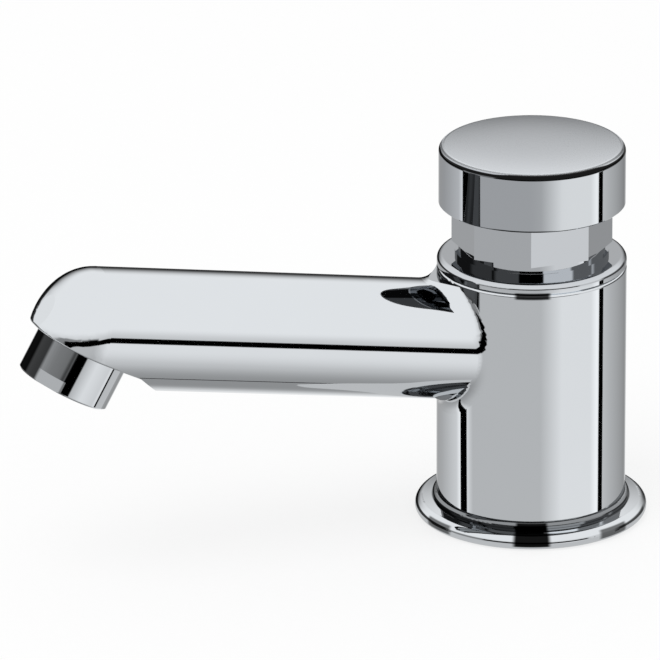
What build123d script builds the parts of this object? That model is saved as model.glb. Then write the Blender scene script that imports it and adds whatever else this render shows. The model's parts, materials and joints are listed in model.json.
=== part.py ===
from build123d import *
from math import cos, pi, radians, sin, sqrt, tan
import os

# Push timed tap for a basin deck, in millimetres.
# The origin is the centre of the foot on the deck, +Z points up and the spout reaches towards -X.
os.makedirs("parts", exist_ok=True)

# Fits shared by all pieces
overrun = 1.0
fixed_gap = 0.02
run_gap = 0.05
seal_gap = 0.06
slack = 0.15

# Foot: rubber gasket in the flange ring, whose lip carries the body
gasket_t = 0.8
gasket_rim_w = 2.2
gasket_bore_gap = 0.5
flange_lip_t = 1.0
flange_lip_w = 6.5
flange_over = 4.65
flange_rim_r = 1.75
flange_rim_wall = 0.1
flange_under_r = 1.55
flange_step_w = 0.85
flange_step_h = 3.2
flange_top_slope = 0.25

# Body
body_r = 20.5
body_h = 55.2
body_edge_r = 0.7
chamber_share = 0.717
valve_chamber_share = 0.646

# Spout
spout_drop = 18.16
spout_rise = 9.5
spout_r = 13.05
spout_root_r = 4.0
spout_reach = 102.6
spout_wall = 6.55
waterway_over = 3.0
nose_over = 11.07
nose_tilt = 35.5
nose_fillet_share = 0.85
mouth_tilt = 29.3
mouth_drop = 4.39
mouth_bore_depth = 6.5
mouth_heel = 10.8
mouth_heel_tilt = 45.0
mouth_edge_r = 0.5
same_dir_share = 0.01

# Aerator
aerator_in = 2.75
aerator_h = 9.9
aerator_shoulder_w = 1.3
aerator_thread_h = 5.5
aerator_thread_wall = 0.9
aerator_lip_w = 0.7
aerator_lip_h = 0.8
aerator_edge = 0.35
aerator_flat_depth = 0.6
aerator_flat_h = 2.8
aerator_flat_turn = 45.0
insert_wall = 1.1
insert_h = 9.0
insert_plate_t = 1.2
insert_hub_r = 1.6
insert_hole_r = 0.9
insert_hole_count = 10
screen_t = 0.4
screen_gap = 1.0
screen_count = 2
screen_hole_r = 0.62
screen_pitch = 1.75
screen_rings = 4
screen_ring_holes = 6
aerator_washer_w = 2.2

# Bonnet head: collar, thin ring, neck, octagon and threaded skirt
collar_t = 2.3
collar_edge_r = 1.2
collar_relief = 0.25
octagon_in = 4.5
octagon_h = 11.0
octagon_sides = 8
octagon_chamfer = 0.6
ring_over = 0.6
ring_h = 1.1
neck_in = 0.2
neck_h = 1.6
head_wall = 3.5
cavity_floor_rise = 1.7
skirt_step = 1.8
skirt_len = 8.0
web_drop = 6.0
o_ring_section_r = 0.9
o_groove_h = 2.2
head_groove_drop = 3.0

# Gland bush in the head
gland_pin_gap = 0.35
gland_lip_h = 1.0
gland_lip_gap = 0.6
gland_flange_t = 1.2
gland_groove_low = 2.0
gland_groove_step = 3.8
gland_groove_count = 2

# Push cap
cap_in = 0.35
cap_h = 13.0
cap_wall = 1.9
cap_top_t = 2.5
cap_edge_r = 1.3
cap_rim_edge = 0.25
cap_boss_h = 10.5
push_travel = 7.0
push_spare = 2.0

# Return spring and the washer between it and the cap
spring_boss_gap = 1.4
spring_cavity_gap = 2.5
spring_wire_r = 0.8
spring_turns = 5
spring_seat_over = 0.5
spring_washer_t = 0.6
spring_washer_bore_gap = 0.25
arcs_per_turn = 4

# Stem
stem_share = 0.272
stem_step = 1.0
stem_tip_step = 0.5
stem_thread_h = 9.0
stem_bore_spare = 0.3
stem_collar_gap = 0.9
stem_collar_h = 1.5
stem_tip_over = 0.6
clip_t = 0.7
clip_w = 2.5
clip_groove_depth = 0.5
clip_slot_w = 2.6

# Piston and its seal
piston_h = 6.0
piston_top_gap = 2.5
piston_disc_h = 1.7
piston_disc_gap = 0.2
piston_hub_share = 0.522
cup_lip_share = 0.21
cup_base_t = 1.2
cup_washer_t = 0.8
cup_washer_gap = 0.6

# Timing sleeve and metering pin
sleeve_gap = 1.2
sleeve_wall = 2.0
window_w = 7.0
window_h = 3.5
window_rise = 1.0
pin_r = 0.4
pin_press_h = 3.0
pin_tip_rise = 4.5

# Valve seat and what closes it
seat_gasket_t = 1.0
seat_t = 3.0
seat_gap = 0.3
seat_lip_w = 1.5
seat_lip_h = 1.5
seat_washer_over = 1.0
seat_washer_gap = 0.1
seat_washer_t = 2.5
retainer_gap = 0.9
retainer_t = 1.5
retainer_wall = 0.5
retainer_wall_h = 1.2
stem_nut_wall = 2.0
stem_nut_h = 3.5
nut_sides = 6
valve_spare = 0.5

# Inlet shank
shank_r = 10.4775
shank_wall = 3.4775
shank_len = 70.0
shank_seal_t = 1.0
shank_seal_w = 2.8
shank_edge = 1.2
shank_groove_rise = 13.0
shank_groove_w = 1.5
shank_groove_depth = 0.9
strainer_seat_depth = 1.3
strainer_seat_wall = 2.35
strainer_flange_t = 1.2
strainer_gap = 1.0
strainer_wall = 0.5
strainer_h = 10.0
strainer_hole_r = 0.55
strainer_hole_rows = 3
strainer_hole_count = 8
restrictor_h = 4.0
restrictor_wall = 1.4
restrictor_web_t = 1.2
restrictor_hole_r = 1.6
restrictor_gap = 2.0

# Lock nut and washers, set for a deck of this thickness
deck_t = 20.0
deck_seal_t = 3.0
deck_seal_w = 8.5
deck_washer_t = 1.5
deck_washer_w = 6.5
washer_bore_gap = 0.4
lock_nut_flat = 16.0
lock_nut_h = 8.0
lock_nut_chamfer = 1.0

# Radii that follow from the sizes above
flange_r = body_r + flange_over
flange_lip_r = body_r - flange_lip_w
chamber_r = body_r * chamber_share
valve_chamber_r = chamber_r * valve_chamber_share
octagon_flat = body_r - octagon_in
ring_r = octagon_flat + ring_over
neck_r = octagon_flat - neck_in
head_cavity_r = octagon_flat - head_wall
skirt_r = chamber_r + skirt_step
cap_r = body_r - cap_in
spring_mean_r = head_cavity_r - spring_cavity_gap - spring_wire_r
spring_seat_r = spring_mean_r + spring_wire_r + spring_seat_over
cap_boss_r = spring_mean_r - spring_wire_r - spring_boss_gap
stem_r = chamber_r * stem_share
stem_end_r = stem_r - stem_step
stem_tip_r = stem_end_r - stem_tip_step
clip_r = stem_end_r + clip_w
sleeve_r = chamber_r - sleeve_gap
sleeve_bore_r = sleeve_r - sleeve_wall
piston_hub_r = sleeve_bore_r * piston_hub_share
piston_disc_r = sleeve_bore_r - piston_disc_gap
cup_r = sleeve_bore_r - seal_gap
cup_lip_t = (cup_r - piston_hub_r) * cup_lip_share
cup_washer_r = cup_r - cup_lip_t - cup_washer_gap
pin_place_r = (piston_hub_r + sleeve_bore_r) / 2
gland_r = pin_place_r - pin_r - gland_pin_gap
seat_r = chamber_r - seat_gap
retainer_r = valve_chamber_r - retainer_gap
seat_washer_r = retainer_r - retainer_wall - seat_washer_gap
seat_bore_r = seat_washer_r - seat_washer_over - seat_lip_w
stem_collar_r = seat_bore_r - stem_collar_gap
stem_nut_flat = stem_tip_r + stem_nut_wall
waterway_r = spout_r - spout_wall
aerator_r = spout_r - aerator_in
aerator_thread_r = aerator_r - aerator_shoulder_w
aerator_bore_r = aerator_thread_r - aerator_thread_wall
shank_bore_r = shank_r - shank_wall
strainer_r = shank_bore_r - strainer_gap
deck_seal_r = shank_r + deck_seal_w
deck_washer_r = shank_r + deck_washer_w

# Heights, from the body's top upwards and then down through the works to the end of the shank
foot_z = gasket_t + flange_lip_t
body_top_z = foot_z + body_h
collar_top_z = body_top_z + collar_t
ring_top_z = collar_top_z + ring_h
octagon_z = ring_top_z + neck_h
octagon_top_z = octagon_z + octagon_h
cavity_floor_z = collar_top_z + cavity_floor_rise
spring_seat_z = cavity_floor_z + gland_flange_t
cap_z = octagon_z + push_travel + push_spare
cap_top_z = cap_z + cap_h
cap_roof_z = cap_top_z - cap_top_t
cap_boss_z = cap_roof_z - cap_boss_h
web_z = body_top_z - web_drop
skirt_z = body_top_z - skirt_len
gland_z = web_z + gland_lip_h
piston_top_z = web_z - piston_top_gap
piston_z = piston_top_z - piston_h
sleeve_z = piston_z - push_travel - push_spare - window_h - window_rise
seat_under_z = sleeve_z - seat_t
chamber_floor_z = seat_under_z - seat_gasket_t
seat_lip_z = seat_under_z - seat_lip_h
retainer_top_z = seat_lip_z - seat_washer_t
retainer_z = retainer_top_z - retainer_t
socket_top_z = retainer_z - push_travel - valve_spare
shank_top_z = socket_top_z - shank_seal_t
shank_z = shank_top_z - shank_len
spout_z = body_top_z - spout_drop
spout_angle = radians(spout_rise)
mouth_angle = radians(mouth_tilt)
nose_angle = radians(nose_tilt)
heel_angle = radians(mouth_heel_tilt)

# Planes of the spout: its axis, the nose and the mouth
spout_dir = Vector(-cos(spout_angle), 0, sin(spout_angle))
nose_dir = Vector(-cos(nose_angle), 0, sin(nose_angle))
mouth_dir = Vector(-sin(mouth_angle), 0, -cos(mouth_angle))
mouth_row = Vector(-cos(mouth_angle), 0, sin(mouth_angle))
heel_dir = Vector(cos(heel_angle), 0, -sin(heel_angle))
spout_start = Vector(0, 0, spout_z)
nose_dist = spout_reach / cos(spout_angle) + nose_over
mouth_point = Vector(-spout_reach, 0, spout_z + spout_reach * tan(spout_angle) - mouth_drop)
spout_plane = Plane(origin=spout_start, x_dir=(0, 1, 0), z_dir=spout_dir)
nose_plane = Plane(origin=spout_start + spout_dir * nose_dist, x_dir=(0, 1, 0), z_dir=nose_dir)
mouth_plane = Plane(origin=mouth_point, x_dir=(0, 1, 0), z_dir=mouth_dir)


def turn(*points, plane=Plane.XZ, axis=Axis.Z, mode=Mode.ADD):
    """Turn a closed outline of (radius, height) points about the axis."""
    with BuildSketch(plane) as outline:
        with BuildLine():
            Polyline(*points, close=True)
        make_face()
    revolve(outline.sketch, axis=axis, mode=mode)


def tube(low, high, outer, inner, mode=Mode.ADD):
    """Turn a plain ring between two heights."""
    turn((inner, low), (outer, low), (outer, high), (inner, high), mode=mode)


def o_ring(centre_r, centre_z, section_r):
    """Turn a round rubber section about the upright axis."""
    with BuildSketch(Plane.XZ) as section:
        with Locations((centre_r, centre_z)):
            Circle(section_r)
    revolve(section.sketch, axis=Axis.Z)


def drill(low, high, radius):
    """Bore an upright hole on the main axis."""
    with BuildSketch(Plane.XY.offset(low)) as hole:
        Circle(radius)
    extrude(hole.sketch, amount=high - low, mode=Mode.SUBTRACT)


def save(part, name):
    """Label a finished piece and write it to its own file."""
    part.label = name
    export_step(part, f"parts/{name}.step")


# Blank of the spout: a straight tube whose nose is cut slanting and rounded; its underside is cut
# flat at the mouth, and a steeper heel leads from there to the full depth of the spout
with BuildPart() as spout_blank:
    with BuildSketch(spout_plane):
        Circle(spout_r)
    extrude(amount=nose_dist + spout_r * 2)
    split(bisect_by=nose_plane, keep=Keep.BOTTOM)
    heel_point = mouth_point - mouth_row * mouth_heel
    cut_ends = [
        mouth_point + mouth_row * spout_r * 4,
        heel_point,
        heel_point + heel_dir * spout_r * 3,
        mouth_point + mouth_row * spout_r * 4 + mouth_dir * spout_r * 5,
    ]
    with BuildSketch(Plane.XZ):
        with BuildLine():
            Polyline(*[(end.X, end.Z) for end in cut_ends], close=True)
        make_face()
    extrude(amount=spout_r + overrun, both=True, mode=Mode.SUBTRACT)
    faces_now = spout_blank.faces().filter_by(GeomType.PLANE)
    nose_face = faces_now.filter_by(lambda f: (f.normal_at() - nose_dir).length < same_dir_share)[0]
    mouth_face = faces_now.filter_by(lambda f: (f.normal_at() - mouth_dir).length < same_dir_share)[0]
    mouth_edges = mouth_face.edges()
    nose_edges = [e for e in nose_face.edges() if not any(e.is_same(m) for m in mouth_edges)]
    fillet(nose_edges, spout_r * nose_fillet_share)
    faces_now = spout_blank.faces().filter_by(GeomType.PLANE)
    mouth_face = faces_now.filter_by(lambda f: (f.normal_at() - mouth_dir).length < same_dir_share)[0]
    fillet(mouth_face.edges(), mouth_edge_r)

# Body: column and spout in one casting, with its bores
with BuildPart() as tap_body:
    with BuildSketch(Plane.XY.offset(foot_z)):
        Circle(body_r)
    extrude(amount=body_h + spout_root_r * 2)
    add(spout_blank.part)
    root_edges = tap_body.edges(Select.NEW).filter_by(GeomType.CIRCLE, reverse=True)
    root_edges = root_edges.filter_by(lambda e: abs(e.center().X) < body_r + spout_root_r)
    root_edges = root_edges.filter_by(lambda e: e.bounding_box().size.Y > spout_r / 2)
    fillet(root_edges, spout_root_r)
    with BuildSketch(Plane.XY.offset(body_top_z)):
        Circle(body_r + spout_root_r + overrun)
    extrude(amount=spout_root_r * 3, mode=Mode.SUBTRACT)
    # the turned rounding of the top edge
    with BuildSketch(Plane.XZ):
        with BuildLine():
            edge_low = (body_r, body_top_z - body_edge_r)
            edge_out = (body_r + spout_root_r, body_top_z - body_edge_r)
            edge_up = (body_r + spout_root_r, body_top_z + overrun)
            edge_in = (body_r - body_edge_r, body_top_z + overrun)
            edge_high = (body_r - body_edge_r, body_top_z)
            Polyline(edge_low, edge_out, edge_up, edge_in, edge_high)
            RadiusArc(edge_high, edge_low, body_edge_r)
        make_face()
    revolve(axis=Axis.Z, mode=Mode.SUBTRACT)
    drill(skirt_z, body_top_z + overrun, skirt_r + fixed_gap)
    drill(chamber_floor_z, skirt_z + overrun, chamber_r)
    drill(socket_top_z, chamber_floor_z + overrun, valve_chamber_r)
    drill(foot_z - overrun, socket_top_z, shank_r + fixed_gap)
    with BuildSketch(spout_plane.offset(chamber_r / 2)):
        Circle(waterway_r)
    waterway_len = spout_reach / cos(spout_angle) + waterway_over - chamber_r / 2
    extrude(amount=waterway_len, mode=Mode.SUBTRACT)
    with BuildSketch(mouth_plane.offset(-mouth_bore_depth)):
        Circle(aerator_thread_r + fixed_gap)
    extrude(amount=mouth_bore_depth + overrun, mode=Mode.SUBTRACT)
save(tap_body.part, "tap_body")

# Flange ring: rounded step beside the body, flat top, rounded rim, and the lip that the body stands on
step_r = body_r + fixed_gap + flange_step_w
step_z = foot_z + flange_step_h
rim_z = flange_under_r + flange_rim_wall + flange_rim_r
with BuildPart() as base_flange:
    with BuildSketch(Plane.XZ):
        with BuildLine():
            bore_low = (body_r + fixed_gap, foot_z)
            bore_high = (body_r + fixed_gap, step_z)
            step_side = (step_r, step_z - flange_step_w)
            rim_in = (flange_r - flange_rim_r, rim_z)
            rim_high = (flange_r, rim_z - flange_rim_r)
            rim_low = (flange_r, flange_under_r)
            rim_foot = (flange_r - flange_under_r, 0)
            Line(bore_low, bore_high)
            RadiusArc(bore_high, step_side, flange_step_w)
            Polyline(step_side, (step_r, rim_z + flange_top_slope), rim_in)
            RadiusArc(rim_in, rim_high, flange_rim_r)
            Line(rim_high, rim_low)
            RadiusArc(rim_low, rim_foot, flange_under_r)
            recess_r = flange_r - gasket_rim_w
            Polyline(
                rim_foot,
                (recess_r, 0),
                (recess_r, gasket_t),
                (flange_lip_r, gasket_t),
                (flange_lip_r, foot_z),
                bore_low,
            )
        make_face()
    revolve(axis=Axis.Z)
save(base_flange.part, "base_flange")

with BuildPart() as base_gasket:
    tube(0, gasket_t, flange_r - gasket_rim_w - fixed_gap, shank_r + gasket_bore_gap)
save(base_gasket.part, "base_gasket")

# Inlet shank: screwed into the body, with a relief groove above the stretch for the supply nut
groove_z = shank_z + shank_groove_rise
with BuildPart() as inlet_shank:
    turn(
        (shank_bore_r, shank_top_z),
        (shank_bore_r, shank_z + strainer_seat_depth),
        (shank_r - strainer_seat_wall, shank_z + strainer_seat_depth),
        (shank_r - strainer_seat_wall, shank_z),
        (shank_r - shank_edge, shank_z),
        (shank_r, shank_z + shank_edge),
        (shank_r, groove_z),
        (shank_r - shank_groove_depth, groove_z),
        (shank_r - shank_groove_depth, groove_z + shank_groove_w),
        (shank_r, groove_z + shank_groove_w),
        (shank_r, shank_top_z),
    )
save(inlet_shank.part, "inlet_shank")

with BuildPart() as shank_seal:
    tube(shank_top_z, socket_top_z, shank_r - fixed_gap, shank_r - shank_seal_w)
save(shank_seal.part, "shank_seal")

# Strainer: a flanged cup with rows of small holes
strainer_flange_r = shank_r - strainer_seat_wall - fixed_gap
strainer_top_z = shank_z + strainer_flange_t + strainer_h
with BuildPart() as inlet_strainer:
    turn(
        (strainer_r - strainer_wall, shank_z),
        (strainer_flange_r, shank_z),
        (strainer_flange_r, shank_z + strainer_flange_t),
        (strainer_r, shank_z + strainer_flange_t),
        (strainer_r, strainer_top_z),
        (0, strainer_top_z),
        (0, strainer_top_z - strainer_wall),
        (strainer_r - strainer_wall, strainer_top_z - strainer_wall),
    )
    row_pitch = strainer_h / (strainer_hole_rows + 1)
    for row in range(strainer_hole_rows):
        row_z = shank_z + strainer_flange_t + row_pitch * (row + 1)
        for k in range(strainer_hole_count // 2):
            hole_turn = 360 / strainer_hole_count * (k + row % 2 / 2)
            hole_plane = Plane.YZ.rotated((0, 0, hole_turn))
            with BuildSketch(Plane(origin=(0, 0, row_z), x_dir=hole_plane.x_dir, z_dir=hole_plane.z_dir)):
                Circle(strainer_hole_r)
            extrude(amount=strainer_r + overrun, both=True, mode=Mode.SUBTRACT)
save(inlet_strainer.part, "inlet_strainer")

# Flow restrictor: a short cup with one hole, pressed into the shank above the strainer
restrictor_z = strainer_top_z + restrictor_gap
with BuildPart() as flow_restrictor:
    turn(
        (restrictor_hole_r, restrictor_z),
        (shank_bore_r - fixed_gap, restrictor_z),
        (shank_bore_r - fixed_gap, restrictor_z + restrictor_h),
        (shank_bore_r - restrictor_wall, restrictor_z + restrictor_h),
        (shank_bore_r - restrictor_wall, restrictor_z + restrictor_web_t),
        (restrictor_hole_r, restrictor_z + restrictor_web_t),
    )
save(flow_restrictor.part, "flow_restrictor")

# Under the deck: rubber washer, metal washer and hexagon nut
deck_seal_z = -deck_t - deck_seal_t
deck_washer_z = deck_seal_z - deck_washer_t
lock_nut_z = deck_washer_z - lock_nut_h
with BuildPart() as deck_seal:
    tube(deck_seal_z, -deck_t, deck_seal_r, shank_r + washer_bore_gap)
save(deck_seal.part, "deck_seal")

with BuildPart() as lock_washer:
    tube(deck_washer_z, deck_seal_z, deck_washer_r, shank_r + washer_bore_gap)
save(lock_washer.part, "lock_washer")

with BuildPart() as lock_nut:
    with BuildSketch(Plane.XY.offset(lock_nut_z)):
        RegularPolygon(lock_nut_flat, nut_sides, major_radius=False)
    extrude(amount=lock_nut_h)
    nut_corner_r = lock_nut_flat / cos(pi / nut_sides)
    turn(
        (0, lock_nut_z),
        (nut_corner_r - lock_nut_chamfer * 2, lock_nut_z),
        (nut_corner_r, lock_nut_z + lock_nut_chamfer),
        (nut_corner_r, deck_washer_z - lock_nut_chamfer),
        (nut_corner_r - lock_nut_chamfer * 2, deck_washer_z),
        (0, deck_washer_z),
        mode=Mode.INTERSECT,
    )
    drill(lock_nut_z - overrun, deck_washer_z + overrun, shank_r + run_gap)
save(lock_nut.part, "lock_nut")

# Bonnet head: screwed into the body, with the octagon for the spanner and a cavity for the spring
head_groove_z = body_top_z - head_groove_drop
head_groove_r = skirt_r - o_ring_section_r * 2 - fixed_gap * 2
with BuildPart() as bonnet_head:
    with BuildSketch(Plane.XZ):
        with BuildLine():
            collar_low = (body_r, body_top_z + collar_relief)
            collar_side = (body_r, collar_top_z - collar_edge_r)
            collar_flat = (body_r - collar_edge_r, collar_top_z)
            Polyline(
                (0, web_z),
                (sleeve_r + run_gap, web_z),
                (sleeve_r + run_gap, skirt_z),
                (skirt_r, skirt_z),
                (skirt_r, head_groove_z - o_groove_h / 2),
                (head_groove_r, head_groove_z - o_groove_h / 2),
                (head_groove_r, head_groove_z + o_groove_h / 2),
                (skirt_r, head_groove_z + o_groove_h / 2),
                (skirt_r, body_top_z),
                (body_r - collar_relief, body_top_z),
                collar_low,
                collar_side,
            )
            RadiusArc(collar_side, collar_flat, -collar_edge_r)
            Polyline(
                collar_flat,
                (ring_r, collar_top_z),
                (ring_r, ring_top_z),
                (neck_r, ring_top_z),
                (neck_r, octagon_z),
                (0, octagon_z),
                (0, web_z),
            )
        make_face()
    revolve(axis=Axis.Z)
    with BuildSketch(Plane.XY.offset(octagon_z)):
        RegularPolygon(octagon_flat, octagon_sides, major_radius=False, rotation=180 / octagon_sides)
    extrude(amount=octagon_h)
    octagon_corner_r = octagon_flat / cos(pi / octagon_sides)
    turn(
        (octagon_corner_r - octagon_chamfer, octagon_top_z),
        (octagon_corner_r + overrun, octagon_top_z),
        (octagon_corner_r + overrun, octagon_top_z - octagon_chamfer - overrun),
        mode=Mode.SUBTRACT,
    )
    drill(cavity_floor_z, octagon_top_z + overrun, head_cavity_r)
    drill(gland_z, cavity_floor_z + overrun, gland_r + fixed_gap)
    drill(web_z - overrun, gland_z + overrun, stem_r + gland_lip_gap)
    with BuildSketch(Plane.XY.offset(web_z - overrun)):
        with Locations((0, pin_place_r)):
            Circle(pin_r + fixed_gap)
    extrude(amount=pin_press_h + overrun, mode=Mode.SUBTRACT)
save(bonnet_head.part, "bonnet_head")

with BuildPart() as bonnet_o_ring:
    o_ring(head_groove_r + fixed_gap + o_ring_section_r, head_groove_z, o_ring_section_r)
save(bonnet_o_ring.part, "bonnet_o_ring")

# Gland bush: guides the stem and holds its seals
gland_groove_r = stem_r + seal_gap + o_ring_section_r * 2 + fixed_gap
gland_groove_zs = [gland_z + gland_groove_low + gland_groove_step * k for k in range(gland_groove_count)]
with BuildPart() as gland_bush:
    turn(
        (stem_r + run_gap, gland_z),
        (gland_r, gland_z),
        (gland_r, cavity_floor_z),
        (spring_seat_r, cavity_floor_z),
        (spring_seat_r, spring_seat_z),
        (stem_r + run_gap, spring_seat_z),
    )
    for groove_low in gland_groove_zs:
        tube(groove_low, groove_low + o_groove_h, gland_groove_r, stem_r, mode=Mode.SUBTRACT)
save(gland_bush.part, "gland_bush")

with BuildPart() as stem_o_rings:
    for groove_low in gland_groove_zs:
        o_ring(stem_r + seal_gap + o_ring_section_r, groove_low + o_groove_h / 2, o_ring_section_r)
save(stem_o_rings.part, "stem_o_rings")

# Push cap: skirt over the octagon, and a boss inside that takes the stem
with BuildPart() as push_cap:
    with BuildSketch(Plane.XZ):
        with BuildLine():
            cap_side = (cap_r, cap_top_z - cap_edge_r)
            cap_flat = (cap_r - cap_edge_r, cap_top_z)
            boss_bore_z = cap_boss_z + stem_thread_h + stem_bore_spare
            Polyline(
                (0, boss_bore_z),
                (stem_end_r + fixed_gap, boss_bore_z),
                (stem_end_r + fixed_gap, cap_boss_z),
                (cap_boss_r, cap_boss_z),
                (cap_boss_r, cap_roof_z),
                (cap_r - cap_wall, cap_roof_z),
                (cap_r - cap_wall, cap_z),
                (cap_r - cap_rim_edge, cap_z),
                (cap_r, cap_z + cap_rim_edge),
                cap_side,
            )
            RadiusArc(cap_side, cap_flat, -cap_edge_r)
            Polyline(cap_flat, (0, cap_top_z), (0, boss_bore_z))
        make_face()
    revolve(axis=Axis.Z)
save(push_cap.part, "push_cap")

spring_top_z = cap_roof_z - spring_washer_t
with BuildPart() as spring_washer:
    tube(spring_top_z, cap_roof_z, spring_seat_r, cap_boss_r + spring_washer_bore_gap)
save(spring_washer.part, "spring_washer")


def biarc_middle(start, start_dir, end, end_dir):
    """Give the point where two equal tangent arcs between two directions meet."""
    chord = end - start
    both = start_dir + end_dir
    spread = 2 * (1 - start_dir.dot(end_dir))
    reach = (-chord.dot(both) + sqrt(chord.dot(both) ** 2 + spread * chord.dot(chord))) / spread
    return (start + start_dir * reach + end - end_dir * reach) / 2


# Return spring: one wire wound as a helix, its ends ground flat on the bush and the washer
spring_low = spring_seat_z
spring_high = spring_top_z
spring_pitch = (spring_high - spring_low) / spring_turns


def spring_point(step):
    """Give the place on the helix after a number of arcs."""
    angle = 2 * pi * step / arcs_per_turn
    height = spring_low + spring_pitch * step / arcs_per_turn
    return Vector(spring_mean_r * cos(angle), spring_mean_r * sin(angle), height)


def spring_dir(step):
    """Give the direction of the helix after a number of arcs."""
    angle = 2 * pi * step / arcs_per_turn
    rise = spring_pitch / (2 * pi)
    return Vector(-spring_mean_r * sin(angle), spring_mean_r * cos(angle), rise).normalized()


spring_steps = spring_turns * arcs_per_turn
with BuildPart() as return_spring:
    with BuildLine() as spring_path:
        for step in range(spring_steps):
            arc_start = spring_point(step)
            arc_end = spring_point(step + 1)
            middle = biarc_middle(arc_start, spring_dir(step), arc_end, spring_dir(step + 1))
            first = TangentArc(arc_start, middle, tangent=spring_dir(step))
            TangentArc(middle, arc_end, tangent=first % 1)
    with BuildSketch(Plane(origin=spring_point(0), z_dir=spring_dir(0))):
        Circle(spring_wire_r)
    sweep()
    spring_box_r = spring_mean_r + spring_wire_r + overrun
    with BuildSketch(Plane.XY.offset(spring_low)):
        Circle(spring_box_r)
    extrude(amount=spring_high - spring_low, mode=Mode.INTERSECT)
save(return_spring.part, "return_spring")

# Stem: thread in the cap, guide in the bush, shoulder on the piston, collar and tip for the valve
stem_nut_z = retainer_z - stem_nut_h
clip_z = piston_z - clip_t
with BuildPart() as stem:
    turn(
        (0, stem_nut_z - stem_tip_over),
        (stem_tip_r, stem_nut_z - stem_tip_over),
        (stem_tip_r, retainer_top_z),
        (stem_end_r, retainer_top_z),
        (stem_end_r, seat_lip_z),
        (stem_collar_r, seat_lip_z),
        (stem_collar_r, seat_lip_z + stem_collar_h),
        (stem_end_r, seat_lip_z + stem_collar_h),
        (stem_end_r, clip_z),
        (stem_end_r - clip_groove_depth, clip_z),
        (stem_end_r - clip_groove_depth, piston_z),
        (stem_end_r, piston_z),
        (stem_end_r, piston_top_z),
        (stem_r, piston_top_z),
        (stem_r, cap_boss_z),
        (stem_end_r, cap_boss_z),
        (stem_end_r, cap_boss_z + stem_thread_h),
        (0, cap_boss_z + stem_thread_h),
    )
save(stem.part, "stem")

with BuildPart() as piston_clip:
    tube(clip_z, piston_z, clip_r, stem_end_r - clip_groove_depth)
    with BuildSketch(Plane.XY.offset(clip_z)):
        with Locations((clip_r / 2, 0)):
            Rectangle(clip_r + overrun, clip_slot_w)
    extrude(amount=clip_t, mode=Mode.SUBTRACT)
save(piston_clip.part, "piston_clip")


def pin_hole(low, high):
    """Bore the way that the metering pin passes through."""
    with BuildSketch(Plane.XY.offset(low)) as hole:
        with Locations((0, pin_place_r)):
            Circle(pin_r + slack)
    extrude(hole.sketch, amount=high - low, mode=Mode.SUBTRACT)


# Piston, its cup seal and the washer that holds the seal down
cup_z = piston_z + piston_disc_h
cup_washer_z = piston_top_z - cup_washer_t
with BuildPart() as piston:
    turn(
        (stem_end_r + run_gap, piston_z),
        (piston_disc_r, piston_z),
        (piston_disc_r, cup_z),
        (piston_hub_r, cup_z),
        (piston_hub_r, piston_top_z),
        (stem_end_r + run_gap, piston_top_z),
    )
    pin_hole(piston_z - overrun, cup_z + overrun)
save(piston.part, "piston")

with BuildPart() as piston_cup_seal:
    turn(
        (piston_hub_r + fixed_gap, cup_z),
        (cup_r, cup_z),
        (cup_r, cup_washer_z),
        (cup_r - cup_lip_t, cup_washer_z),
        (cup_r - cup_lip_t, cup_z + cup_base_t),
        (piston_hub_r + fixed_gap + cup_lip_t, cup_z + cup_base_t),
        (piston_hub_r + fixed_gap + cup_lip_t, cup_washer_z),
        (piston_hub_r + fixed_gap, cup_washer_z),
    )
    pin_hole(cup_z - overrun, cup_z + cup_base_t + overrun)
save(piston_cup_seal.part, "piston_cup_seal")

with BuildPart() as cup_seal_washer:
    tube(cup_washer_z, piston_top_z, cup_washer_r, piston_hub_r + fixed_gap)
    pin_hole(cup_washer_z - overrun, piston_top_z + overrun)
save(cup_seal_washer.part, "cup_seal_washer")

with BuildPart() as metering_pin:
    with BuildSketch(Plane.XY.offset(sleeve_z + pin_tip_rise)):
        with Locations((0, pin_place_r)):
            Circle(pin_r)
    extrude(amount=web_z + pin_press_h - sleeve_z - pin_tip_rise)
save(metering_pin.part, "metering_pin")

# Timing sleeve: the cylinder of the piston, with four windows at its foot
with BuildPart() as timing_sleeve:
    tube(sleeve_z, web_z, sleeve_r, sleeve_bore_r)
    with BuildSketch(Plane.XY.offset(sleeve_z + window_rise)):
        Rectangle(sleeve_r * 2 + overrun, window_w)
        Rectangle(window_w, sleeve_r * 2 + overrun)
    extrude(amount=window_h, mode=Mode.SUBTRACT)
save(timing_sleeve.part, "timing_sleeve")

with BuildPart() as seat_gasket:
    tube(chamber_floor_z, seat_under_z, seat_r, valve_chamber_r)
save(seat_gasket.part, "seat_gasket")

# Valve seat: a ring whose lip points down at the seat washer
with BuildPart() as valve_seat:
    turn(
        (seat_bore_r, seat_lip_z),
        (seat_bore_r + seat_lip_w, seat_lip_z),
        (seat_bore_r + seat_lip_w, seat_under_z),
        (seat_r, seat_under_z),
        (seat_r, sleeve_z),
        (seat_bore_r, sleeve_z),
    )
save(valve_seat.part, "valve_seat")

with BuildPart() as seat_washer:
    tube(retainer_top_z, seat_lip_z, seat_washer_r, stem_end_r + fixed_gap)
save(seat_washer.part, "seat_washer")

with BuildPart() as washer_retainer:
    turn(
        (stem_tip_r + fixed_gap, retainer_z),
        (retainer_r, retainer_z),
        (retainer_r, retainer_top_z + retainer_wall_h),
        (retainer_r - retainer_wall, retainer_top_z + retainer_wall_h),
        (retainer_r - retainer_wall, retainer_top_z),
        (stem_tip_r + fixed_gap, retainer_top_z),
    )
save(washer_retainer.part, "washer_retainer")

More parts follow.
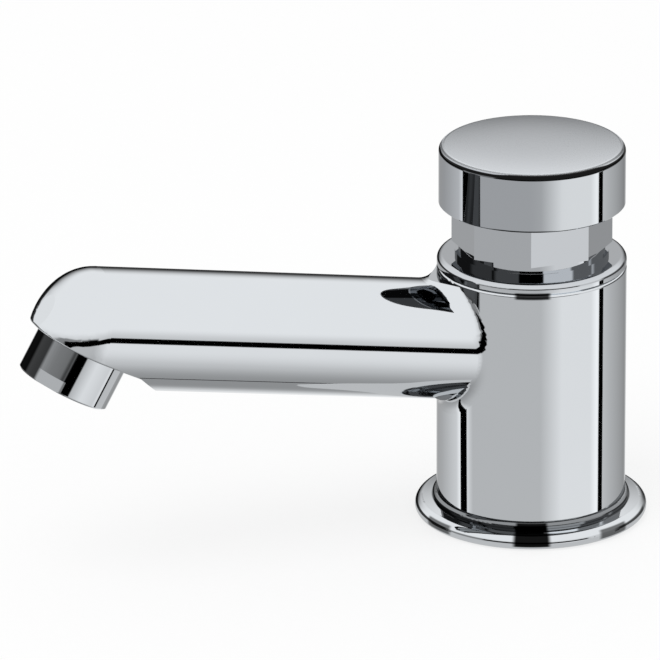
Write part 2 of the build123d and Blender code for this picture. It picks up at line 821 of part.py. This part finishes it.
with BuildPart() as stem_nut:
    with BuildSketch(Plane.XY.offset(stem_nut_z)):
        RegularPolygon(stem_nut_flat, nut_sides, major_radius=False)
        Circle(stem_tip_r + fixed_gap, mode=Mode.SUBTRACT)
    extrude(amount=stem_nut_h)
save(stem_nut.part, "stem_nut")

# Aerator: heights are counted outwards from the mouth's face
mouth_axis = Axis(mouth_point, mouth_dir)
mouth_side = Plane(origin=mouth_point, x_dir=(0, 1, 0), z_dir=Vector(0, 1, 0).cross(mouth_dir))
lip_bore_r = aerator_bore_r - aerator_lip_w
aerator_bore_end = aerator_h - aerator_lip_h
with BuildPart() as aerator_housing:
    turn(
        (aerator_bore_r, -aerator_thread_h),
        (aerator_thread_r, -aerator_thread_h),
        (aerator_thread_r, 0),
        (aerator_r, 0),
        (aerator_r, aerator_h - aerator_edge),
        (aerator_r - aerator_edge, aerator_h),
        (lip_bore_r, aerator_h),
        (lip_bore_r, aerator_bore_end),
        (aerator_bore_r, aerator_bore_end),
        plane=mouth_side,
        axis=mouth_axis,
    )
    with BuildSketch(mouth_plane.offset(aerator_h - aerator_flat_h)) as flats:
        with PolarLocations(aerator_r - aerator_flat_depth + overrun, 2, start_angle=aerator_flat_turn):
            Rectangle(overrun * 2, aerator_r * 2)
    extrude(amount=aerator_flat_h + overrun, mode=Mode.SUBTRACT)
save(aerator_housing.part, "aerator_housing")

# Screens at the outlet: round plates with rings of holes
screens_low = aerator_bore_end - screen_t * screen_count - screen_gap * (screen_count - 1)
with BuildPart() as aerator_screens:
    for k in range(screen_count):
        with BuildSketch(mouth_plane.offset(screens_low + (screen_t + screen_gap) * k)):
            Circle(aerator_bore_r - fixed_gap)
            Circle(screen_hole_r, mode=Mode.SUBTRACT)
            for ring in range(1, screen_rings):
                with PolarLocations(screen_pitch * ring, screen_ring_holes * ring):
                    Circle(screen_hole_r, mode=Mode.SUBTRACT)
        extrude(amount=screen_t)
save(aerator_screens.part, "aerator_screens")

# Insert: a cup with a drilled plate that breaks the water up
insert_end = screens_low
insert_start = insert_end - insert_h
insert_r = aerator_bore_r - fixed_gap
with BuildPart() as aerator_insert:
    turn(
        (0, insert_start),
        (insert_r, insert_start),
        (insert_r, insert_end),
        (insert_r - insert_wall, insert_end),
        (insert_r - insert_wall, insert_start + insert_plate_t),
        (insert_hub_r, insert_start + insert_plate_t),
        (insert_hub_r, insert_end - screen_gap),
        (0, insert_end - screen_gap),
        plane=mouth_side,
        axis=mouth_axis,
    )
    with BuildSketch(mouth_plane.offset(insert_start - overrun)):
        with PolarLocations((insert_r - insert_wall + insert_hub_r) / 2, insert_hole_count):
            Circle(insert_hole_r)
    extrude(amount=insert_plate_t + overrun * 2, mode=Mode.SUBTRACT)
save(aerator_insert.part, "aerator_insert")

with BuildPart() as aerator_washer:
    with BuildSketch(mouth_plane.offset(-mouth_bore_depth)):
        Circle(aerator_thread_r - fixed_gap)
        Circle(aerator_thread_r - aerator_washer_w, mode=Mode.SUBTRACT)
    extrude(amount=mouth_bore_depth - aerator_thread_h)
save(aerator_washer.part, "aerator_washer")

# The least gap between neighbouring turns of the spring, measured on points along it
samples_per_turn = 48
spring_samples = [
    spring_point(k * arcs_per_turn / samples_per_turn)
    for k in range(spring_turns * samples_per_turn + 1)
]
least_gap = min(
    (spring_samples[i] - spring_samples[j]).length - 2 * spring_wire_r
    for i in range(len(spring_samples))
    for j in range(i + samples_per_turn // 2, len(spring_samples))
)
print(f"spring: {spring_turns} turns, least gap {least_gap:.2f} mm")
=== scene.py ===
import json
import math

import bmesh
import bpy
from mathutils import Matrix, Vector


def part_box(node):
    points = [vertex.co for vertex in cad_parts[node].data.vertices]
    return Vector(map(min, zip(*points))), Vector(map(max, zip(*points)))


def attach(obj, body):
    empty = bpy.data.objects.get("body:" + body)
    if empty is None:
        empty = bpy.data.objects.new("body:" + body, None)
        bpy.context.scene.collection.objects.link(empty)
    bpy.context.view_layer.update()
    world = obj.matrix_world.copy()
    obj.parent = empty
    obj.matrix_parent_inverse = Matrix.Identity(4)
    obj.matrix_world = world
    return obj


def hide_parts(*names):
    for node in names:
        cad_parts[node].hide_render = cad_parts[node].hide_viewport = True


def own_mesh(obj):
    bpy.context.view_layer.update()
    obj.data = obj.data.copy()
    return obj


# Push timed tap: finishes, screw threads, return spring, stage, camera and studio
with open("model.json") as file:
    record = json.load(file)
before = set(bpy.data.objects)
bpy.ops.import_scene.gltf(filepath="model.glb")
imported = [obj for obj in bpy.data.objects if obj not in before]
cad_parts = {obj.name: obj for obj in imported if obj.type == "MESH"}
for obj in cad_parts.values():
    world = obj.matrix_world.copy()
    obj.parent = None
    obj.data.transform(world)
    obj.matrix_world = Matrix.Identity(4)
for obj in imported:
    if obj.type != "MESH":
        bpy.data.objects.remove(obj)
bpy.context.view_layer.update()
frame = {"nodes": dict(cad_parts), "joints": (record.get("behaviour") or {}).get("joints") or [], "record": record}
nodes = frame["nodes"]
MM = 0.001

# Directions: a turn is in degrees round the tap, 0 at -Y and 90 at +X, and a rise is in degrees above level.
# FRONT is the side that the photograph shows.

FRONT = -20.8


def outward(turned, raised=0.0):
    """The direction that leaves the tap at a turn and a rise."""
    turned, raised = math.radians(turned), math.radians(raised)
    level = math.cos(raised)
    return Vector((math.sin(turned) * level, -math.cos(turned) * level, math.sin(raised)))


# Shader writing


class Level:
    """A number that changes over a surface; sums and products of it add Math nodes."""

    def __init__(self, shader, socket):
        self.shader = shader
        self.socket = socket

    def __add__(self, other):
        return self.shader.maths("ADD", self, other)

    def __radd__(self, other):
        return self.shader.maths("ADD", other, self)

    def __sub__(self, other):
        return self.shader.maths("SUBTRACT", self, other)

    def __rsub__(self, other):
        return self.shader.maths("SUBTRACT", other, self)

    def __mul__(self, other):
        return self.shader.maths("MULTIPLY", self, other)

    def __rmul__(self, other):
        return self.shader.maths("MULTIPLY", other, self)

    def __truediv__(self, other):
        return self.shader.maths("DIVIDE", self, other)

    def __pow__(self, other):
        return self.shader.maths("POWER", self, other)


class Shader:
    """The nodes of one finish, or of the studio round the tap."""

    def __init__(self, tree):
        self.tree = tree
        self.tree.nodes.clear()

    def add(self, kind, settings=None, sockets=None, out=0):
        """Add a node, set its settings, fill or link its sockets, and give one of its outputs."""
        node = self.tree.nodes.new("ShaderNode" + kind)
        for name, value in (settings or {}).items():
            if name == "stops":
                self.fill_ramp(node.color_ramp, value)
            else:
                setattr(node, name, value)
        for name, value in (sockets or {}).items():
            if isinstance(value, Level):
                self.tree.links.new(value.socket, node.inputs[name])
            else:
                node.inputs[name].default_value = value
        return Level(self, node.outputs[out]) if node.outputs else None

    @staticmethod
    def fill_ramp(ramp, stops):
        """Give a colour ramp its grey levels, from its start to its end."""
        for place, _ in stops[1:-1]:
            ramp.elements.new(place)
        for element, (place, level) in zip(ramp.elements, stops):
            element.position = place
            element.color = grey(level)

    def maths(self, operation, *values):
        return self.add("Math", {"operation": operation}, dict(enumerate(values)))

    def vector(self, operation, *values, out=0):
        return self.add("VectorMath", {"operation": operation}, dict(enumerate(values)), out)

    def part(self, vector, axis):
        """One number of a vector: 0, 1 or 2 for its x, y or z."""
        return self.add("SeparateXYZ", None, {0: vector}, axis)

    def along(self, vector, direction):
        """How far a vector reaches in a direction."""
        return self.vector("DOT_PRODUCT", vector, direction, out="Value")

    def smooth(self, value, start, end):
        """A soft step from 0 to 1 as the value passes from start to end."""
        settings = {"interpolation_type": "SMOOTHSTEP"}
        return self.add("MapRange", settings, {"Value": value, "From Min": start, "From Max": end})

    def window(self, value, start, end, edge):
        """1 between start and end, and 0 outside, with soft edges of that width."""
        return self.smooth(value, start - edge, start) * (1 - self.smooth(value, end, end + edge))

    def here(self):
        """The shaded point in metres, on Object coordinates."""
        return self.add("TexCoord", out="Object")

    def noise(self, scale, detail, stretch=(1, 1, 1), roughness=0.5):
        """Cloudy noise from 0 to 1 with features of about 1 / scale metres, finer where it is stretched."""
        where = self.add("Mapping", None, {"Vector": self.here(), "Scale": stretch})
        sockets = {"Vector": where, "Scale": scale, "Detail": detail, "Roughness": roughness}
        return self.add("TexNoise", None, sockets, out="Fac")

    def mix(self, share, low, high, how="MIX"):
        """Blend two colours."""
        return self.add("Mix", {"data_type": "RGBA", "blend_type": how}, {0: share, 6: low, 7: high}, out=2)

    def bump(self, height, distance, strength=1.0, normal=None):
        """A bumped normal from a height in shares of the distance in metres."""
        sockets = {"Height": height, "Distance": distance, "Strength": strength}
        if normal is not None:
            sockets["Normal"] = normal
        return self.add("Bump", None, sockets)


def colour(r, g, b):
    return (r, g, b, 1.0)


def grey(level):
    return colour(level, level, level)


def surface(name, build):
    """Make a material from the shader that build(shader) gives."""
    material = bpy.data.materials.new(name)
    material.use_nodes = True
    shader = Shader(material.node_tree)
    shader.add("OutputMaterial", None, {"Surface": build(shader)})
    return material


def finish(name, build):
    """Make a material whose Principled sockets come from build(shader)."""
    return surface(name, lambda shader: shader.add("BsdfPrincipled", None, build(shader)))


def metal(tint, roughness, normal):
    """The Principled sockets of a bare or plated metal."""
    return {"Base Color": tint, "Metallic": 1.0, "Roughness": roughness, "Normal": normal}


def height_of(shader):
    """Height above the deck, in metres."""
    return shader.part(shader.here(), 2)


def radius_of(shader):
    """Distance from the tap's upright axis, in metres."""
    x = shader.part(shader.here(), 0)
    y = shader.part(shader.here(), 1)
    return (x * x + y * y) ** 0.5


def facing(shader, turned, sure, fade):
    """1 on the side of the tap within sure degrees of a turn, and 0 beyond fade degrees of it."""
    side = shader.vector("NORMALIZE", shader.vector("MULTIPLY", shader.here(), (1, 1, 0)))
    nearness = shader.along(side, outward(turned))
    return shader.smooth(nearness, math.cos(math.radians(fade)), math.cos(math.radians(sure)))


# Finishes of the chrome, with painted shade and painted reflections: dark marks that no single room would mirror
# in it, the turns that they face, and the sizes that they follow

BODY_FRONT, FOOT_LEFT, FOOT_RIGHT = -21.4, -75.0, 24.0
BUTTON_HIGHLIGHT, BUTTON_EDGE, BUTTON_FOOT = 19.2, -6.8, -28.0
STEP_RADIUS = 21.4 * MM
RIM_RADIUS = 23.4 * MM
COLUMN_TOP = 57.1 * MM
MOUTH_TILT = math.radians(29.3)
AERATOR_TAPER = math.radians(4.5)
body_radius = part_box("tap_body")[1].x
flange_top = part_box("base_flange")[1].z


def painted_shade_and_reflections(shader):
    """The painted shade and painted reflections of the chrome, from the first laid on to the last: a share and a
    colour each.
    """
    height = height_of(shader)
    radius = radius_of(shader)
    # Painted shade: the bonnet above the column, but not the spout, which rises as high, gets a darker chrome tint
    above_column = shader.smooth(height, COLUMN_TOP - 0.6 * MM, COLUMN_TOP + 2.4 * MM)
    near_axis = 1 - shader.smooth(radius, body_radius + 0.5 * MM, body_radius + 3.5 * MM)
    # Painted shade in the small step of the flange ring beside the body
    on_flange = 1 - shader.smooth(height, flange_top - 0.1 * MM, flange_top + 0.2 * MM)
    in_step = 1 - shader.smooth(radius, STEP_RADIUS, STEP_RADIUS + 0.25 * MM)
    # Painted dark reflections: blocks under the bonnet's thin ring, and on the left, right and front of the flange
    # ring
    under_ring = shader.window(height, COLUMN_TOP - 1.0 * MM, COLUMN_TOP + 0.1 * MM, 0.4 * MM)
    on_rim = shader.window(height, 1.0 * MM, 2.7 * MM, 0.3 * MM)
    on_rim = on_rim * shader.smooth(radius, RIM_RADIUS - 0.5 * MM, RIM_RADIUS)
    sides = facing(shader, FOOT_LEFT, 7.3, 10.3) + facing(shader, FOOT_RIGHT, 7.3, 10.3)
    on_foot = shader.window(height, 1.0 * MM, 4.7 * MM, 0.3 * MM)
    return (
        # Painted shade on the bonnet and in the flange step, then painted dark reflections under the ring, on the
        # rim's sides and on the foot's front
        (above_column * near_axis, colour(0.685, 0.712, 0.745)),
        (on_flange * in_step * 0.7, colour(0.06, 0.065, 0.07)),
        (under_ring * facing(shader, BODY_FRONT, 8.9, 12.0) * 0.97, grey(0.01)),
        (on_rim * sides * 0.8, grey(0.01)),
        (on_foot * facing(shader, BODY_FRONT, 7.7, 10.3) * 0.995, grey(0.004)),
    )


def polished_chrome(shader):
    """Mirror chrome over cast brass: a faint swell of the polished metal, wipe marks and hairlines, with painted
    shade and painted reflections over its tint.
    """
    swell = shader.noise(70, 1.5)
    haze = shader.noise(28, 3.0, roughness=0.6)
    hairs = shader.noise(260, 2.0, (1.0, 1.0, 0.06))
    roughness = 0.022 + haze * 0.022 + shader.smooth(hairs, 0.62, 0.8) * 0.03
    tint = shader.mix(haze, colour(0.835, 0.868, 0.90), colour(0.865, 0.898, 0.93))
    # Painted shade and painted reflections, laid over the chrome's tint
    for share, painted_colour in painted_shade_and_reflections(shader):
        tint = shader.mix(share, tint, painted_colour)
    return metal(tint, roughness, shader.bump(swell, 0.02 * MM, 0.8))


def aerator_chrome(shader):
    """The same chrome on the aerator's shell: a slight taper, and painted dark reflections on its left half, less
    on its flat.
    """
    sockets = polished_chrome(shader)
    shell_low, shell_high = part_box("aerator_housing")
    shell_radius = (shell_high.y - shell_low.y) / 2
    lip_ward = Vector((-math.sin(MOUTH_TILT), 0, -math.cos(MOUTH_TILT)))
    rightward = outward(FRONT + 90)
    rightward = (rightward - lip_ward * lip_ward.dot(rightward)).normalized()
    from_middle = shader.vector("SUBTRACT", shader.here(), (shell_low + shell_high) / 2)
    from_axis = shader.vector("LENGTH", shader.vector("CROSS_PRODUCT", from_middle, lip_ward), out="Value")
    across = shader.along(from_middle, rightward)
    # Painted dark reflections on the near side: the left half darker, more on its rounding than on its flat, and
    # its far left nearly black
    round_part = shader.smooth(from_axis, shell_radius - 0.36 * MM, shell_radius - 0.22 * MM)
    near_side = shader.smooth(shader.along(from_middle, outward(FRONT)), 0, shell_radius * 0.1)
    dim_reflection = 1 - shader.smooth(across, shell_radius * 0.06, shell_radius * 0.14)
    black = 1 - shader.smooth(across, shell_radius * -0.64, shell_radius * -0.56)
    painted_reflection = 1 - near_side * dim_reflection * (0.42 + round_part * 0.34)
    painted_reflection = painted_reflection * (1 - near_side * black * 0.88)
    sockets["Base Color"] = shader.mix(1.0, sockets["Base Color"], painted_reflection, "MULTIPLY")
    taper = shader.along(shader.here(), lip_ward) * -math.tan(AERATOR_TAPER)
    sockets["Normal"] = shader.bump(taper, 1.0)
    return sockets


def button_chrome(shader):
    """Chrome with a finely turned, slightly domed satin top, and a mirror wall with a painted highlight, painted
    shade and painted dark lines at its top edge and foot.
    """
    cap_low, cap_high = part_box("push_cap")
    height = height_of(shader)
    radius = radius_of(shader)
    on_top = shader.smooth(height, cap_high.z - 0.35 * MM, cap_high.z - 0.05 * MM)
    haze = shader.noise(28, 3.0, roughness=0.6)
    grooves = {"W": radius * 9000, "Scale": 1.0, "Detail": 2.0}
    turned = shader.add("TexNoise", {"noise_dimensions": "1D"}, grooves, out="Fac")
    roughness = 0.024 + haze * 0.02 + on_top * (0.22 + turned * 0.06)
    # A painted highlight on the side of the wall that faces its turn, with the rest of the wall in painted shade
    wall_in_painted_shade = shader.mix(haze, colour(0.60, 0.628, 0.665), colour(0.62, 0.648, 0.685))
    tint = shader.mix(facing(shader, BUTTON_HIGHLIGHT, 14.1, 43.9), wall_in_painted_shade, colour(0.80, 0.835, 0.865))
    tint = shader.mix(on_top, tint, colour(0.80, 0.83, 0.865))
    # A painted dark reflection line round the wall just under the top's rounding, widest on the side it faces, and
    # a painted shadow line at the wall's foot on one side
    edge_height = cap_high.z - 0.75 * MM
    edge_half = (0.24 + facing(shader, BUTTON_EDGE, 23.1, 40.5) * 0.26) * MM
    edge = shader.window(height, edge_height - edge_half, edge_height + edge_half, 0.12 * MM)
    foot = 1 - shader.smooth(height, cap_low.z + 0.3 * MM, cap_low.z + 0.45 * MM)
    foot = foot * facing(shader, BUTTON_FOOT, 9.9, 23.1)
    tint = shader.mix(edge * 0.995, tint, grey(0.008))
    tint = shader.mix(foot * 0.97, tint, grey(0.008))
    square = radius * radius
    dome = square * -1.4 - square * square * 2200
    domed = shader.bump(dome * on_top, 1.0)
    return metal(tint, roughness, shader.bump(turned * on_top, 0.0006 * MM, normal=domed))


# Finishes of the pieces inside the body and under the deck


def plain_brass(shader):
    """Unplated turned brass, a little tarnished."""
    tarnish = shader.noise(160, 4.0, roughness=0.6)
    turned = shader.noise(30, 2.0, (1.0, 1.0, 260.0))
    tint = shader.mix(tarnish, colour(0.83, 0.66, 0.36), colour(0.62, 0.45, 0.22))
    return metal(tint, 0.2 + tarnish * 0.14 + turned * 0.08, shader.bump(turned, 0.01 * MM))


def zinc_steel(shader):
    """Stamped steel with a dull zinc skin and faint spangle."""
    cells = shader.add("TexVoronoi", None, {"Vector": shader.here(), "Scale": 420.0}, out="Color")
    spangle = shader.part(cells, 0)
    tint = shader.mix(spangle, colour(0.62, 0.64, 0.66), colour(0.74, 0.75, 0.77))
    return metal(tint, 0.3 + spangle * 0.12, shader.bump(spangle, 0.006 * MM))


def spring_steel(shader):
    """Drawn stainless wire: bright, with lines along its skin."""
    lines = shader.noise(900, 2.0, (1.0, 1.0, 0.2))
    tint = shader.mix(lines, colour(0.56, 0.57, 0.58), colour(0.70, 0.71, 0.72))
    return metal(tint, 0.22 + lines * 0.14, shader.bump(lines, 0.008 * MM))


def black_rubber(shader):
    """Moulded black rubber with a fine matt skin and pale bloom."""
    grain = shader.noise(2600, 2.0)
    bloom = shader.noise(120, 3.0)
    tint = shader.mix(bloom, colour(0.016, 0.016, 0.017), colour(0.045, 0.045, 0.044))
    return {"Base Color": tint, "Roughness": 0.62 + grain * 0.2, "Normal": shader.bump(grain, 0.02 * MM)}


def moulded(dark, light):
    """Moulded acetal in one shade: soft sheen with faint flow marks."""

    def build(shader):
        flow = shader.noise(90, 3.0, (1.0, 1.0, 3.0))
        grain = shader.noise(1800, 2.0)
        tint = shader.mix(flow, dark, light)
        roughness = 0.36 + flow * 0.1 + grain * 0.06
        return {"Base Color": tint, "Roughness": roughness, "Normal": shader.bump(grain, 0.008 * MM)}

    return build


builders = {
    "polished_chrome": polished_chrome,
    "button_chrome": button_chrome,
    "plain_brass": plain_brass,
    "zinc_steel": zinc_steel,
    "spring_steel": spring_steel,
    "black_rubber": black_rubber,
    "grey_plastic": moulded(colour(0.27, 0.28, 0.29), colour(0.34, 0.35, 0.36)),
    "white_plastic": moulded(colour(0.80, 0.80, 0.78), colour(0.87, 0.87, 0.85)),
}
finishes = {slot: finish(slot, build) for slot, build in builders.items()}
for subpart in frame["record"]["subparts"]:
    mesh = nodes[subpart["node"]].data
    mesh.materials.clear()
    mesh.materials.append(finishes[subpart["material_slot"]])
nodes["aerator_housing"].data.materials[0] = finish("aerator_chrome", aerator_chrome)

# Making pieces

MERGE_DISTANCE = 0.001 * MM
SHARP_ANGLE = math.radians(32)


def shaped(name, build, material):
    """Make an object of the shape that build(bmesh) gives, with its doubles merged and its faces outwards."""
    shape = bmesh.new()
    build(shape)
    bmesh.ops.remove_doubles(shape, verts=shape.verts, dist=MERGE_DISTANCE)
    bmesh.ops.recalc_face_normals(shape, faces=shape.faces)
    mesh = bpy.data.meshes.new(name)
    shape.to_mesh(mesh)
    shape.free()
    mesh.materials.append(material)
    made = bpy.data.objects.new(name, mesh)
    bpy.context.scene.collection.objects.link(made)
    return made


def piece(name, body, slot, build, *stands_for):
    """Make a piece of the tap, let it ride on a body and stand for CAD nodes."""
    made = shaped(name, build, finishes[slot])
    made.data.shade_smooth()
    made.data.set_sharp_from_angle(angle=SHARP_ANGLE)
    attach(made, body)
    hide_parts(*stands_for)
    return made


def outline(shape, points):
    """Add a line of points in the upright plane through the axis, given as radius and height."""
    verts = [shape.verts.new((radius, 0, height)) for radius, height in points]
    edges = [shape.edges.new(pair) for pair in zip(verts, verts[1:])]
    return verts, edges


def turn(shape, points, steps=96):
    """Turn an outline fully round the upright axis."""
    verts, edges = outline(shape, points)
    bmesh.ops.spin(
        shape, geom=verts + edges, cent=(0, 0, 0), axis=(0, 0, 1), dvec=(0, 0, 0),
        angle=2 * math.pi, steps=steps, use_merge=True, use_duplicate=False,
    )


# Screw threads: the CAD has a plain cylinder at their crest, and this piece stands for it inside that size

THREAD_PITCH = 1.814 * MM
THREAD_DEPTH = 1.05 * MM
HALF_FOOT = THREAD_PITCH * 0.46
HALF_CREST = THREAD_PITCH * 0.06


def ridge(shape, inner, crest, low, high, steps=48):
    """Wind one V-shaped thread ridge up a core, from its sunk foot to its crest."""
    middle = low + HALF_FOOT
    verts, _ = outline(shape, [
        (inner, low), (crest, middle - HALF_CREST), (crest, middle + HALF_CREST), (inner, middle + HALF_FOOT),
    ])
    section = shape.faces.new(verts)
    turns = (high - low) / THREAD_PITCH - 1
    bmesh.ops.spin(
        shape, geom=[section], cent=(0, 0, 0), axis=(0, 0, 1), dvec=(0, 0, THREAD_PITCH / steps),
        angle=2 * math.pi * turns, steps=round(steps * turns), use_merge=False, use_duplicate=False,
    )


def threaded_shank(shape):
    """The inlet shank: bore, strainer seat, relief groove, and G1/2 thread below the deck."""
    low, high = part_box("inlet_shank")
    crest = high.x
    root = crest - THREAD_DEPTH
    bore = crest - 3.4775 * MM
    seat_radius, seat_height = crest - 2.35 * MM, low.z + 1.3 * MM
    end_radius, end_height = crest - 1.2 * MM, low.z + 0.4 * MM
    groove_low, groove_high = low.z + 13.0 * MM, low.z + 14.5 * MM
    plain_radius, plain_low, plain_high = crest - 0.1 * MM, -9.0 * MM, -0.4 * MM
    turn(shape, [
        (bore, high.z), (bore, seat_height), (seat_radius, seat_height), (seat_radius, low.z),
        (end_radius, low.z), (root, end_height), (root, plain_low - 1.0 * MM), (plain_radius, plain_low),
        (plain_radius, plain_high), (crest, 0), (crest, high.z), (bore, high.z),
    ])
    sunk = root - 0.1 * MM
    ridge(shape, sunk, crest, low.z + 0.7 * MM, groove_low)
    ridge(shape, sunk, crest, groove_high, plain_low)


piece("shank_thread", "fixed_tap", "plain_brass", threaded_shank, "inlet_shank")

# The return spring: a copy of the wound wire with its own mesh, and the share of its length left with the button
# down

spring_low, spring_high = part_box("return_spring")
press = next(joint for joint in frame["joints"] if joint["name"] == "button_press")


def wound_spring(shape):
    """The wire of the wound spring, whose loose triangles are joined as the piece is made."""
    shape.from_mesh(nodes["return_spring"].data)
    shape.transform(nodes["return_spring"].matrix_world)


spring = piece("working_spring", "fixed_tap", "spring_steel", wound_spring, "return_spring")
shortest = 1 - press["range_m"][1] / (spring_high.z - spring_low.z)
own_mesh(spring)

# Stage: a pale floor at deck height, open round the shank, and what a bright tap mirrors below it

FLOOR_HOLE = 11 * MM
FLOOR_RADIUS = 4.0
FLOOR_LEVEL = -0.05 * MM
SLEEVE_RADIUS = 30 * MM
SLEEVE_TOP, SLEEVE_FOOT = -0.5 * MM, -80 * MM


def pale_floor(shader):
    """A matt white top: mostly plain white to the camera, so that only a soft shadow is left on it."""
    grain = shader.noise(400, 2.0)
    tint = shader.mix(grain, grey(0.93), grey(0.95))
    matt = shader.add("BsdfDiffuse", None, {"Color": tint})
    white = shader.add("Emission", None, {"Strength": 1.0})
    seen = shader.add("LightPath", out="Is Camera Ray")
    return shader.add("MixShader", None, {0: seen * 0.72, 1: matt, 2: white})


def floor_ring(shape):
    turn(shape, [(FLOOR_HOLE, FLOOR_LEVEL), (FLOOR_RADIUS, FLOOR_LEVEL)], steps=64)


floor = shaped("floor", floor_ring, surface("pale_floor", pale_floor))
floor.visible_glossy = False


def deck_side(shader):
    """Light from where the deck hides the shank: plain from outside, clear from within."""
    inside = shader.add("NewGeometry", out="Backfacing")
    glow = shader.add("Emission", None, {"Strength": 0.55})
    clear = shader.add("BsdfTransparent")
    return shader.add("MixShader", None, {0: inside, 1: glow, 2: clear})


def sleeve_wall(shape):
    foot = [(0, SLEEVE_FOOT), (SLEEVE_RADIUS, SLEEVE_FOOT)]
    top = [(SLEEVE_RADIUS, SLEEVE_TOP), (FLOOR_HOLE, SLEEVE_TOP)]
    turn(shape, foot + top, steps=48)


sleeve = shaped("deck_side", sleeve_wall, surface("deck_side", deck_side))
sleeve.visible_camera = False
sleeve.visible_diffuse = False
sleeve.visible_shadow = False

# Camera, from the fit of the tap's outline in the photograph

CAMERA_TURN, CAMERA_RISE = -22.01, 20.469
LOOK_TURN, LOOK_RISE = FRONT, 20.434
CAMERA_ROLL = math.radians(-0.151)
CAMERA_DISTANCE = 2.2001
camera_aim = Vector((0, 0, 40 * MM))

camera_data = bpy.data.cameras.new("camera")
camera_data.sensor_width = 36.0
camera_data.lens = 555.18
camera_data.clip_end = 50.0
camera = bpy.data.objects.new("camera", camera_data)
bpy.context.scene.collection.objects.link(camera)
back = outward(LOOK_TURN, LOOK_RISE)
level_right = Vector((0, 0, 1)).cross(back).normalized()
level_up = back.cross(level_right)
right = level_right * math.cos(CAMERA_ROLL) + level_up * math.sin(CAMERA_ROLL)
spot = camera_aim + outward(CAMERA_TURN, CAMERA_RISE) * CAMERA_DISTANCE
axes = Matrix((right, back.cross(right), back)).transposed()
camera.matrix_world = Matrix.Translation(spot) @ axes.to_4x4()
bpy.context.scene.camera = camera

# Light: one large soft lamp, high on the left

LAMP_TURN, LAMP_RISE, LAMP_DISTANCE = -60, 62, 2.4

lamp_data = bpy.data.lights.new("soft_lamp", "AREA")
lamp_data.shape = "DISK"
lamp_data.size = 1.6
lamp_data.energy = 14.0
lamp = bpy.data.objects.new("soft_lamp", lamp_data)
bpy.context.scene.collection.objects.link(lamp)
lamp.location = outward(LAMP_TURN, LAMP_RISE) * LAMP_DISTANCE
lamp.rotation_mode = "QUATERNION"
lamp.rotation_quaternion = lamp.location.to_track_quat("Z", "Y")
lamp.visible_glossy = False

# Studio: what the chrome mirrors, in degrees from the front, to the right and up

world = bpy.data.worlds.new("studio")
world.use_nodes = True
bpy.context.scene.world = world
world.cycles.sampling_method = "NONE"
studio = Shader(world.node_tree)
ray = studio.add("TexCoord", out="Generated")
from_front = {"Vector": ray, "Angle": -math.radians(FRONT)}
ray = studio.add("VectorRotate", {"rotation_type": "Z_AXIS"}, from_front)
ray_x, ray_y, ray_z = (studio.part(ray, axis) for axis in range(3))
azimuth = studio.maths("ARCTAN2", ray_x, ray_y * -1) * math.degrees(1)
elevation = studio.maths("ARCSINE", ray_z) * math.degrees(1)


def around(stops):
    """Levels given at azimuths from -180 to 180 degrees."""
    places = [((place + 180) / 360, level) for place, level in stops]
    return studio.part(studio.add("ValToRGB", {"stops": places}, {"Fac": (azimuth + 180) / 360}), 0)


def between(low, high, share):
    """A number that goes from low to high as the share goes from 0 to 1."""
    return low * (1 - share) + high * share


def card(start, end, edge, fade, dark=1.0):
    """A dark card from one azimuth to another that fades out upwards between two elevations."""
    return studio.window(azimuth, start, end, edge) * (1 - studio.smooth(elevation, *fade)) * dark


def shaded(level, *cards):
    """A level that every card in front of it darkens."""
    for share in cards:
        level = level * (1 - share)
    return level


# The table under the tap, darkest straight down, a black flag at each of its sides, and its dark far edge
table = around([
    (-180, 0.88), (-172, 0.55), (-160, 0.38), (-140, 0.43), (-124, 0.52), (-104, 0.66), (-98, 0.92),
    (-84, 0.72), (-76, 0.51), (10, 0.51), (36, 0.80), (76, 0.80), (86, 1.0), (98, 0.55),
    (112, 0.47), (132, 0.38), (156, 0.28), (168, 0.6), (174, 1.0), (180, 1.0),
])
table = between(table, 0.30, studio.smooth(elevation, -22, -80))
table = shaded(table, studio.window(azimuth, -96, -86, 1) + studio.window(azimuth, 89.5, 96, 1))
horizon = studio.window(elevation, -12.5, -4.5, 1.2) * studio.window(azimuth, -45, 54, 6)

# The room as the tap mirrors it straight to the eye
sky = 0.62 + studio.smooth(elevation, -4, 14) * 0.24
first = shaded(
    sky,
    card(-88, -17, 5, (0, 3), 0.62),
    card(-180, -94, 6, (4, 8), 0.94),
    card(97, 140, 12, (2, 16), 0.9),
    card(-12, 17, 3, (-4, 2)),
    card(-180, -162, 32, (2, 34), 0.94),
    card(162, 180, 32, (2, 34), 0.94),
    horizon,
)

# The room as it looks in chrome that is itself mirrored in chrome, such as in the neck under the button
deeper = shaded(
    sky,
    studio.smooth(elevation, 36, 46) * 0.93,
    card(-19, 15, 3, (36, 52)),
    card(-150, -62, 8, (64, 80), 0.94),
    card(-62, -19, 3, (36, 52), 0.9),
    card(66, 98, 6, (36, 52), 0.8),
    card(-180, -110, 12, (30, 50), 0.8),
    card(110, 180, 12, (30, 50), 0.8),
    horizon,
)
again = studio.smooth(studio.add("LightPath", out="Glossy Depth"), 1.2, 1.8)
room = between(first, deeper, again)
table = table * (1 - again * 0.5)
reflected = between(table, room, studio.smooth(elevation, -14.5, -13))

# White to the camera, and plain pale grey to matt surfaces
glossy = studio.add("LightPath", out="Is Glossy Ray")
seen = studio.add("LightPath", out="Is Camera Ray")
strength = between(between(0.86, 1, seen), reflected, glossy)
glow = studio.add("Background", None, {"Color": grey(1), "Strength": strength})
studio.add("OutputWorld", None, {"Surface": glow})

bpy.context.scene.view_settings.view_transform = "Standard"
